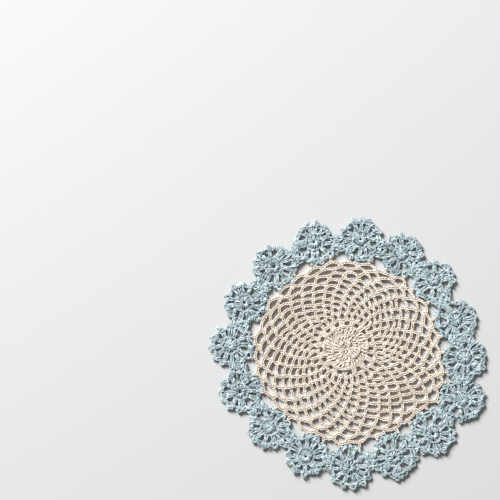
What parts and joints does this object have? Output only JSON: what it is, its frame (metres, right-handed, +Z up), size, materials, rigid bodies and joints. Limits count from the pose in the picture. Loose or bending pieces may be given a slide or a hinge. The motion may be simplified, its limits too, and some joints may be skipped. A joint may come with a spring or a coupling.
{
  "type": "lace doily",
  "caption": "Round crocheted lace doily: an ecru net of chain loops round a dense centre disc, ringed by pale blue flower motifs joined at their picots. It lies flat.",
  "frame": {"origin": "middle of the underside of the net's dense centre disc, on the surface that the doily lies on", "axes": "+Z up off the surface, +Y towards the far side as pictured, +X to the right"},
  "size_m": [0.1993, 0.1948, 0.0024],
  "materials": {
    "ecru_cotton": "matt crocheted cotton thread, ecru",
    "blue_cotton": "matt crocheted cotton thread, pale grey blue"
  },
  "bodies": {
    "root": {"net": "ecru_cotton", "flower_01": "blue_cotton", "flower_02": "blue_cotton", "flower_03": "blue_cotton", "flower_04": "blue_cotton", "flower_05": "blue_cotton", "flower_06": "blue_cotton", "flower_07": "blue_cotton", "flower_08": "blue_cotton", "flower_09": "blue_cotton", "flower_10": "blue_cotton", "flower_11": "blue_cotton", "flower_12": "blue_cotton", "flower_13": "blue_cotton", "flower_14": "blue_cotton", "flower_15": "blue_cotton", "flower_16": "blue_cotton"}
  },
  "joints": []
}
